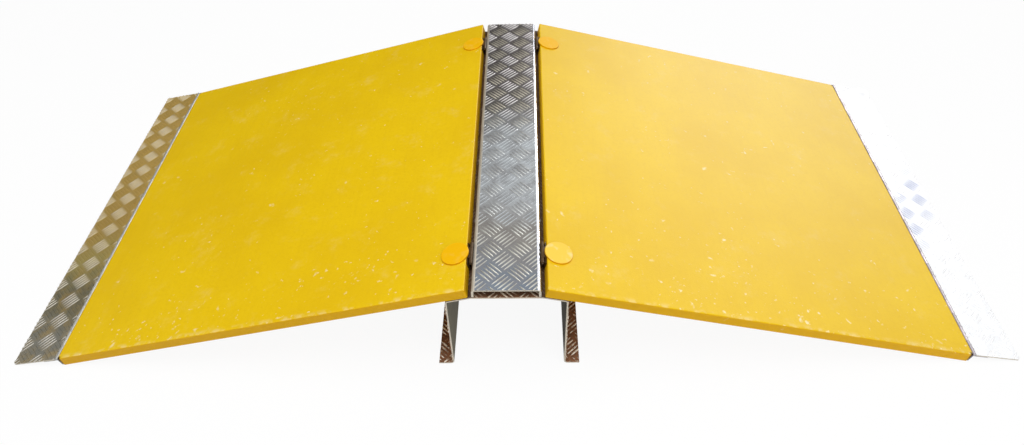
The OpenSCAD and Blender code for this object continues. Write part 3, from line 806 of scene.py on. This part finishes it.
def chequer_bars(name, outer, phase, half_width, planes, materials, holes=(), pitch=None, skew=0.0):
    """The raised bars along a face, as one mesh for each way in which the groups run."""
    sheet = bpy.context.scene.ramp_sheet
    pitch = pitch or sheet.pitch
    run_on = 0.03
    first = outer[0] - (outer[1] - outer[0]).normalized() * run_on
    last = outer[-1] + (outer[-1] - outer[-2]).normalized() * run_on
    path = [first, *outer, last]
    points = [(p.x, 0, p.y) for p in path]
    edges = [(i, i + 1) for i in range(len(path) - 1)]
    length = sum((b - a).length for a, b in zip(path, path[1:]))
    cells = int((length - 2 * run_on) / pitch / 2 + 1) * 2 + 1
    rows = int(half_width / pitch + 1) * 2 + 1
    bar, tree = raised_bar(sheet), chequer_tree()
    made = []
    for material, turn, offset in zip(materials, (45, -45), (0, pitch / 2)):
        source = add_object(name, mesh_from(name, points, [], edges))
        bars = run_tree(source, tree, {
            "Bar": bar, "Bars": sheet.bars, "Spacing": sheet.bar_spacing, "Pitch": pitch,
            "Cells along": cells, "Cells across": rows, "Middle along": length / 2 + phase[0] + offset,
            "Middle across": phase[1] + offset, "Turn": math.radians(turn), "Skew": skew,
            "Material": material}, name)
        cut_flush(bars, planes)
        made.append(all_of(drill(bars, holes), material))
    bpy.data.objects.remove(bar)
    return made


def edge_and_back(name, colours):
    """Finishes of a sheet's cut edges and of its plain back."""
    edge, back = colours.bare_edge, colours.underside
    return (
        metal_finish(name + "_edge", edge, darker(edge, 0.7), 0.4, 0.3),
        metal_finish(name + "_back", back, darker(back, 0.55), 0.6, 0.1))


def paint(nodes, material):
    """Gives CAD nodes a material in every slot."""
    for node in nodes:
        data = frame["nodes"][node].data
        if not data.materials:
            data.materials.append(material)
        for i in range(len(data.materials)):
            data.materials[i] = material


def planes_across(axis, distance):
    """The two planes across an axis (0 is X, 1 is Y) at this distance from the ramp's middle."""
    outward = Vector((axis == 0, axis == 1, 0))
    return [(s * distance * outward, s * outward) for s in (-1, 1)]


# ---- Finishes of each piece ----

def saddle_finishes(colours, gap_shade):
    """Finishes of the saddle's sheet, of its bars, and of the bars on its legs and feet. The sheet's brown
    is a painted dark reflection, its cream bars are painted glints, and the legs' bars are dark as painted
    shade, with painted glints.
    """
    brown, bar = colours.brown_sheet, colours.brown_bar
    # Painted dark reflection: the saddle's face is brown.
    sheet = [
        rolled_finish(
            "stained_sheet", even(brown), darker(brown, 0.45), 0.4, 0.2, 0.4, gap_shade=gap_shade),
        *edge_and_back("saddle", colours),
        # Painted shade: a nearly black back for the right leg's inner face and the right foot's underside.
        metal_finish("dirty_back", darker(colours.underside, 0.2), colours.gap_shade, 0.7, 0.0)]
    # Painted glints: cream bars under brown clouds.
    bars = [
        rolled_finish(
            name, even(bar), brown, 0.28, 0.15, 0.55, 80, gap_shade=gap_shade, cloudy=0.85, end_tone=brown)
        for name in ("stained_bars", "stained_cross_bars")]
    # Painted shade and painted glints: dark leg bars with hard-edged clouds of near-white glints.
    leg_bars = rolled_finish(
        "leg_bars", even(colours.leg_bar), colours.leg_shine, 0.28, 0.15, 0.1, 110, cloudy=1.8,
        end_tone=brown)
    return sheet, bars, leg_bars


def cover_finishes(colours):
    """Finishes of the cover's sheet, with its left and right bend last, and of its bars, toned along the
    ridge with painted reflection.
    """
    # Painted reflection along the ridge: bluish at the front, brownish near the ends, pale in the middle,
    # dark at the back.
    tones = ((0.04, colours.sheet_cool), (0.16, colours.sheet_brown_reflection), (0.19, colours.sheet_brown_reflection),
             (0.30, darker(colours.sheet, 0.85)), (0.44, colours.sheet), (0.59, colours.sheet_brown_reflection),
             (0.73, colours.sheet_dark_reflection))
    stops = (0.15, 0.23, 0.45, 0.58)
    shades = {
        "cover_bars": (
            colours.bar_front, darker(colours.bar, 0.82), colours.bar, colours.bar_back),
        "cover_cross_bars": (
            colours.cross_front, darker(colours.cross_bar, 0.87), colours.cross_bar,
            colours.cross_back)}
    dark_reflection, rubbed = darker(colours.sheet_dark_reflection, 0.7), colours.bare_edge
    sheet = [
        rolled_finish("cover_sheet", tones, dark_reflection, 0.30, 0.2, 1.0),
        *edge_and_back("cover", colours),
        # Painted shade on the left bend, in the bare edge's colour darkened, and a painted highlight on
        # the right bend.
        metal_finish("rubbed_bend", darker(rubbed, 0.75), darker(rubbed, 0.5), 0.4, 0.3, 0.1),
        metal_finish("polished_bend", colours.bend, darker(colours.bend, 0.6), 0.2, spread=0.1)]
    # Painted highlight: the bars of one way are lighter than the crossing bars.
    bars = [
        rolled_finish(name, tuple(zip(stops, row)), dark_reflection, 0.34, 0.12, 1.0, end_tone=dark_reflection)
        for name, row in shades.items()]
    return sheet, bars


def lip_finishes(name, colours, hinge):
    """Finishes of a lip's sheet, of its bars and of its rivets.

    The left lip is grey near the front and bronze behind. The right one is pale, with bluish bars in
    a slanting patch, which is placed from its hinge's distance from the ramp's middle. These tones
    are painted reflection on the same metal, and on the left lip the bars of one way are a painted
    highlight over the crossing bars, which take the sheet's tones.
    """
    patch_middle, patch_slant = 0.018, -2.6
    # Painted reflection: the tones below stand for what each lip reflects.
    if name == "left":
        metallic, clouds, slant = 0.3, darker(colours.bronze, 0.75), None
        tones = ((0.05, colours.grey_lip), (0.15, colours.dark_lip), (0.21, colours.dark_lip),
                 (0.30, colours.olive_lip), (0.42, darker(colours.bronze, 0.8)),
                 (0.65, colours.bronze))
        bar_tones = ((0.12, colours.grey_bar), (0.40, colours.bronze_bar))
        cross_tones = tones
    else:
        metallic, clouds = 0.0, darker(colours.pale_sheet, 0.88)
        slant = (hinge + patch_middle, patch_slant)
        tones = even(colours.pale_sheet)
        bar_tones = even(colours.pale_bar)
        cross_tones = ((0.31, colours.pale_bar), (0.38, colours.blue_bar), (0.46, colours.blue_bar),
                       (0.53, colours.pale_bar))
    sheet = [
        rolled_finish(name + "_lip_sheet", tones, clouds, 0.36, 0.2, metallic),
        *edge_and_back(name + "_lip", colours)]
    # On the left lip, painted highlight: the bars of one way are lighter and twice as metallic as the
    # crossing bars, which take the sheet's tones.
    bars = [
        rolled_finish(
            name + "_lip_bars", bar_tones, darker(bar_tones[0][1], 0.7), 0.32, 0.12, 2 * metallic),
        rolled_finish(
            name + "_lip_cross_bars", cross_tones, clouds, 0.4, 0.12, metallic, slant=slant)]
    rivets = rolled_finish(name + "_rivet_metal", tones, clouds, 0.3, 0.12, metallic)
    return sheet, bars, rivets


# ---- Operators ----

class RAMP_OT_saddle(bpy.types.Operator):
    """Makes the folded chequer saddle with its wings, legs and feet"""
    bl_idname = "ramp.saddle"
    bl_label = "Saddle"

    def execute(self, context):
        sheet, shape = context.scene.ramp_sheet, context.scene.ramp_shape
        colours = context.scene.ramp_colours
        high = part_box("saddle_plate")[1]
        cover_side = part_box("ridge_cover")[1].x
        leg, t = shape.leg_spread / 2, sheet.thickness
        slope_x = cover_side + shape.slope_start
        wing_end = high.z - (leg - slope_x) * math.tan(shape.slope)
        right = [(slope_x, high.z), (leg, wing_end), (leg, t), (high.x, t)]
        path = [Vector((-x, z)) for x, z in reversed(right)] + [Vector(p) for p in right]
        outer = folded_face(path, t, sheet.fold_radius, sheet.bar_height)
        back = folded_face(path, t, sheet.fold_radius, t)
        # Painted shade for the gaps beside the cover.
        gap_shade = (colours.gap_shade, cover_side, high.z)
        finishes, bar_finishes, leg_bars = saddle_finishes(colours, gap_shade)
        plain = sheet_between("saddle_base", outer, back, high.y, sheet.edge_bevel, finishes)
        # Painted shade: the right leg's inner face and the right foot's underside take the nearly black
        # back.
        shaded = len(finishes) - 1
        recolour(plain, shaded, lambda p: p.material_index == BACK and p.center.x > leg - 2 * t)
        holes = rivet_holes("ridge_floor_rivets", (0, 0, 1), length=0.02)
        plain = drill(plain, holes)
        planes = planes_across(1, high.y) + planes_across(0, high.x)
        bars = chequer_bars(
            "saddle_bars", outer, sheet.saddle_shift, high.y, planes, bar_finishes, holes,
            skew=sheet.saddle_skew)
        for made in bars:
            made.data.materials.append(leg_bars)
            last = len(made.data.materials) - 1
            recolour(made, last, lambda p: p.center.z < wing_end - t)
        whole = joined("chequer_saddle", [plain, *bars])
        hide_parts("saddle_plate")
        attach(whole, "saddle")
        return {"FINISHED"}


class RAMP_OT_ridge_cover(bpy.types.Operator):
    """Makes the folded chequer cover of the ridge"""
    bl_idname = "ramp.ridge_cover"
    bl_label = "Ridge cover"

    def execute(self, context):
        sheet, colours = context.scene.ramp_sheet, context.scene.ramp_colours
        low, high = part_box("ridge_cover")
        corners = [(low.x, low.z), (low.x, high.z), (high.x, high.z), (high.x, low.z)]
        path = [Vector(p) for p in corners]
        outer = folded_face(path, sheet.thickness, sheet.cover_fold_radius, 0)
        for point in outer[1:-1]:
            point.y -= sheet.bar_height
        back = folded_face(path, sheet.thickness, sheet.cover_fold_radius, sheet.thickness)
        finishes, bar_finishes = cover_finishes(colours)
        plain = sheet_between("cover_base", outer, back, high.y, sheet.edge_bevel, finishes)
        flat = high.x - sheet.cover_fold_radius - sheet.thickness
        top = high.z - sheet.bar_height
        bend_foot = top - sheet.cover_fold_radius - sheet.thickness
        # The left bend takes the last finish but one, darkened as painted shade, and the right bend takes
        # the last, bright as a painted highlight.
        for side, bend in ((-1, len(finishes) - 2), (1, len(finishes) - 1)):
            recolour(plain, bend, lambda p: p.material_index == FACE and (
                side * p.center.x > flat and p.center.z > bend_foot))
        holes = []
        for node in ("ridge_flange_rivets", "left_bracket_rivets", "right_bracket_rivets"):
            holes += rivet_holes(node, (1, 0, 0), length=0.03)
        plain = drill(plain, holes)
        bars = chequer_bars(
            "cover_bars", [Vector((-flat, top)), Vector((flat, top))], sheet.cover_shift, high.y,
            planes_across(1, high.y) + planes_across(0, flat), bar_finishes)
        whole = joined("chequer_cover", [plain, *bars])
        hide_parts("ridge_cover")
        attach(whole, "saddle")
        return {"FINISHED"}


class RAMP_OT_lips(bpy.types.Operator):
    """Makes both chequer lips"""
    bl_idname = "ramp.lips"
    bl_label = "Lips"

    def execute(self, context):
        sheet, shape = context.scene.ramp_sheet, context.scene.ramp_shape
        colours = context.scene.ramp_colours
        axes = {j["name"]: j for j in frame["joints"]}
        seat_depth, hole_depth = 0.006, 0.02
        for name, side in SIDES:
            x, _, z = axes[name + "_lip_hinge"]["pos_m"]
            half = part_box(name + "_lip_plate")[1].y
            reach = math.hypot(shape.lip_length, shape.lip_under)
            slope = math.asin(z / reach) - math.atan(-shape.lip_under / shape.lip_length)
            along = Vector((side * math.cos(slope), -math.sin(slope)))
            up = Vector((side * math.sin(slope), math.cos(slope)))
            start = Vector((x, z))
            face = shape.lip_under + sheet.thickness - sheet.bar_height

            def at(u, n):
                return start + along * u + up * n

            ends = [shape.lip_start, shape.lip_length][::side]
            outer = [at(u, face) for u in ends]
            back = [at(u, shape.lip_under) for u in ends]
            finishes, bar_finishes, rivet_finish = lip_finishes(name, colours, x)
            paint([name + "_lip_rivets"], rivet_finish)
            plain = sheet_between(name + "_lip_base", outer, back, half, sheet.edge_bevel, finishes)
            inward = Vector((up.x, 0, up.y))
            shanks = rivet_holes(name + "_lip_rivets", inward, hole_depth)
            plain = drill(plain, shanks)
            seat = shape.rivet_head / 2 + shape.hole_gap
            seats = [
                (middle + inward * seat_depth / 2, inward, seat, seat_depth)
                for middle, *_ in shanks]
            outward = Vector((along.x, 0, along.y))
            tip, root = at(shape.lip_length, 0), at(shape.lip_start, 0)
            planes = planes_across(1, half) + [
                (Vector((tip.x, 0, tip.y)), outward), (Vector((root.x, 0, root.y)), -outward)]
            corners = []
            for s in (-1, 1):
                cut = tip - along * shape.lip_corner
                corners.append((Vector((cut.x, s * half, cut.y)), outward + Vector((0, s, 0))))
            cut_flush(plain, corners)
            middle_phase = -side * ((shape.lip_length + shape.lip_start) / 2 - sheet.lip_row)
            bars = chequer_bars(
                name + "_lip_bars", outer, (middle_phase, sheet.lip_shift), half,
                planes + corners, bar_finishes, seats, sheet.lip_pitch)
            whole = joined(name + "_chequer_lip", [plain, *bars])
            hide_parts(name + "_lip_plate")
            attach(whole, name + "_lip")
        return {"FINISHED"}


def both(*names):
    """Names of the CAD nodes that are there once on each side."""
    return [side + "_" + name for name in names for side, _ in SIDES]


class RAMP_OT_decks(bpy.types.Operator):
    """Finishes the yellow deck mouldings and the sheets that close them"""
    bl_idname = "ramp.decks"
    bl_label = "Decks"

    def execute(self, context):
        colours = context.scene.ramp_colours
        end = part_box("right_deck_moulding")[1]
        paint(both("deck_moulding"), deck_finish("deck_yellow", colours, end.x, end.y, 0.0005))
        paint(both("deck_base"), deck_finish("deck_base_yellow", colours, end.x, end.y, 0.0008))
        return {"FINISHED"}


class RAMP_OT_deck_insides(bpy.types.Operator):
    """Finishes the rails, ribs and cores inside the decks"""
    bl_idname = "ramp.deck_insides"
    bl_label = "Deck insides"

    def execute(self, context):
        colours = context.scene.ramp_colours
        paint(both("inner_rail", "outer_rail", "deck_ribs"),
              wood_finish("plywood", colours.wood, darker(colours.wood, 0.6)))
        paint(both("deck_cores"), wood_finish("balsa", colours.core, darker(colours.core, 0.8)))
        return {"FINISHED"}


class RAMP_OT_caps(bpy.types.Operator):
    """Finishes the caps over the strap bolts"""
    bl_idname = "ramp.caps"
    bl_label = "Caps"

    def execute(self, context):
        paint(both("bolt_caps"), cap_finish("cap_orange", context.scene.ramp_colours))
        return {"FINISHED"}


class RAMP_OT_metalwork(bpy.types.Operator):
    """Finishes the hinges, leaves, pins, angle strips and fixings"""
    bl_idname = "ramp.metalwork"
    bl_label = "Metalwork"

    def execute(self, context):
        colours = context.scene.ramp_colours
        steel, mauve = colours.steel, colours.mauve_steel
        # Nodes, name, colour, its share in the first and in the second tone, roughness, metallic.
        looks = (
            (both("hinge_brackets", "hinge_straps", "bracket_rivets"), "hinge_paint",
             colours.hinge_paint, 1, 0.5, 0.5, 0.2),
            # Painted shade: the end leaves, whose knuckles alternate with the leaves' knuckles, are darker
            # copies of the same steel.
            (["left_lip_leaf"], "leaf_steel", steel, 0.72, 0.5, 0.4, 0.4),
            (["left_lip_end_leaf"], "end_leaf_steel", steel, 0.6, 0.4, 0.4, 0.4),
            (["right_lip_leaf"], "mauve_leaf_steel", mauve, 1, 0.6, 0.4, 0.4),
            (["right_lip_end_leaf"], "mauve_end_leaf_steel", mauve, 0.7, 0.5, 0.4, 0.4),
            (both("hinge_pins", "lip_pin"), "pin_steel", steel, 0.8, 0.5, 0.3, 1.0),
            (both("strap_bolts", "bolt_washers", "bolt_nuts", "leaf_screws"), "zinc",
             steel, 1, 0.7, 0.34, 1.0),
            (["ridge_angles"], "angle_strip", colours.sheet, 1, 0.6, 0.3, 1.0),
            (["ridge_floor_rivets", "ridge_flange_rivets"], "rivet_metal",
             colours.sheet_dark_reflection, 1, 0.7, 0.5, 0.5))
        for nodes, name, colour, first, second, roughness, metallic in looks:
            paint(nodes, metal_finish(
                name, darker(colour, first), darker(colour, second), roughness, metallic))
        return {"FINISHED"}


def softbox(name, place, target, size, power, shine_only=False):
    """A lamp that looks at the target. With shine_only it lights only what is glossy."""
    lamp = bpy.data.lights.new(name, "AREA")
    lamp.shape = "RECTANGLE"
    lamp.size, lamp.size_y = size
    lamp.energy = power
    made = bpy.data.objects.new(name, lamp)
    bpy.context.scene.collection.objects.link(made)
    made.visible_diffuse = not shine_only
    made.location = place
    made.rotation_euler = (Vector(target) - Vector(place)).to_track_quat("-Z", "Y").to_euler()


def shown_directly(surface):
    """1 for rays from the camera, from gloss and through glass, 0 for the rest."""
    kinds = [surface.node("ShaderNodeLightPath", out=k) for k in (
        "Is Camera Ray", "Is Glossy Ray", "Is Transmission Ray")]
    total = kinds[0] + kinds[1] + kinds[2]
    return total.maths("MINIMUM", total, 1)


class RAMP_OT_stage(bpy.types.Operator):
    """Makes the floor, the lamps, the world and the camera"""
    bl_idname = "ramp.stage"
    bl_label = "Stage"

    def execute(self, context):
        stage, scene = context.scene.ramp_stage, context.scene
        colours = scene.ramp_colours
        far, pale, white = 30, (0.92, 0.92, 0.92), (1, 1, 1)
        corners = [(-far, -far, 0), (far, -far, 0), (far, far, 0), (-far, far, 0)]
        floor = add_object("floor", mesh_from("floor", corners, [(0, 1, 2, 3)]))
        s = material_nodes("pale_floor")
        lit = s.node("ShaderNodeBsdfDiffuse", None, {"Color": pale})
        shining = s.node("ShaderNodeEmission", None, {"Color": white, "Strength": 1.0})
        share = shown_directly(s) * stage.floor_lift
        mixed = s.node("ShaderNodeMixShader", None, {0: share, 1: lit, 2: shining})
        s.node("ShaderNodeOutputMaterial", None, {"Surface": mixed})
        floor.data.materials.append(s.owner)

        first_turn, turn_step, posts = 82, 10, 9
        turns = [math.radians(first_turn + turn_step * i) for i in range(posts)]
        radius, rise = stage.screen_radius, stage.screen_rise / (posts - 1)
        foot = [(radius * math.cos(a), radius * math.sin(a), 0) for a in turns]
        points = foot + [
            (x, y, stage.screen_height + rise * i) for i, (x, y, _) in enumerate(foot)]
        faces = [(i, i + 1, posts + i + 1, posts + i) for i in range(posts - 1)]
        screen = add_object("screen", mesh_from("screen", points, faces))
        s = material_nodes("dark_screen")
        screen.data.materials.append(s.finish(Base_Color=colours.screen, Roughness=0.9))
        screen.visible_camera = False

        sky = Surface(bpy.data.worlds.new("studio"))
        share = shown_directly(sky)
        strength = share * (1 - stage.ambient) + stage.ambient
        back = sky.node("ShaderNodeBackground", None, {"Color": white, "Strength": strength})
        sky.node("ShaderNodeOutputWorld", None, {"Surface": back})
        scene.world = sky.owner

        softbox("key", (-0.15, -0.4, 2.6), (0, 0, 0), (2.6, 2.0), stage.key_power)
        softbox("side", (2.1, 2.5, 1.45), (0.35, 0, 0.1), (2.4, 1.2), stage.side_power, shine_only=True)
        softbox("front", (1.5, -1.7, 1.1), (0.5, -0.35, 0.1), (1.2, 0.9), stage.front_power)

        lens = bpy.data.cameras.new("camera")
        lens.lens = stage.lens
        lens.sensor_width = 36
        camera = bpy.data.objects.new("camera", lens)
        scene.collection.objects.link(camera)
        turn = (Matrix.Rotation(stage.yaw, 3, "Z") @ Matrix.Rotation(math.pi / 2 - stage.pitch, 3, "X")
                @ Matrix.Rotation(stage.roll, 3, "Z"))
        camera.matrix_world = Matrix.Translation(stage.camera) @ turn.to_4x4()
        scene.camera = camera
        scene.view_settings.view_transform = "Standard"
        return {"FINISHED"}


class RAMP_PT_panel(bpy.types.Panel):
    """Lists the ramp's parts"""
    bl_idname = "RAMP_PT_panel"
    bl_label = "Folding ramp"
    bl_space_type = "VIEW_3D"
    bl_region_type = "UI"
    bl_category = "Ramp"

    def draw(self, context):
        for operator in OPERATORS:
            self.layout.operator(operator.bl_idname)


SETTINGS = (
    ("ramp_sheet", RampSheetSettings), ("ramp_shape", RampShapeSettings),
    ("ramp_colours", RampColourSettings), ("ramp_stage", RampStageSettings))
OPERATORS = (
    RAMP_OT_stage, RAMP_OT_saddle, RAMP_OT_ridge_cover, RAMP_OT_lips, RAMP_OT_decks,
    RAMP_OT_deck_insides, RAMP_OT_caps, RAMP_OT_metalwork)


def register():
    for name, group in SETTINGS:
        bpy.utils.register_class(group)
        setattr(bpy.types.Scene, name, bpy.props.PointerProperty(type=group))
    for made in (*OPERATORS, RAMP_PT_panel):
        bpy.utils.register_class(made)


def unregister():
    for made in (RAMP_PT_panel, *reversed(OPERATORS)):
        bpy.utils.unregister_class(made)
    for name, group in reversed(SETTINGS):
        delattr(bpy.types.Scene, name)
        bpy.utils.unregister_class(group)


def main():
    register()
    for operator in OPERATORS:
        area, name = operator.bl_idname.split(".")
        getattr(getattr(bpy.ops, area), name)()


if __name__ == "__main__":
    main()
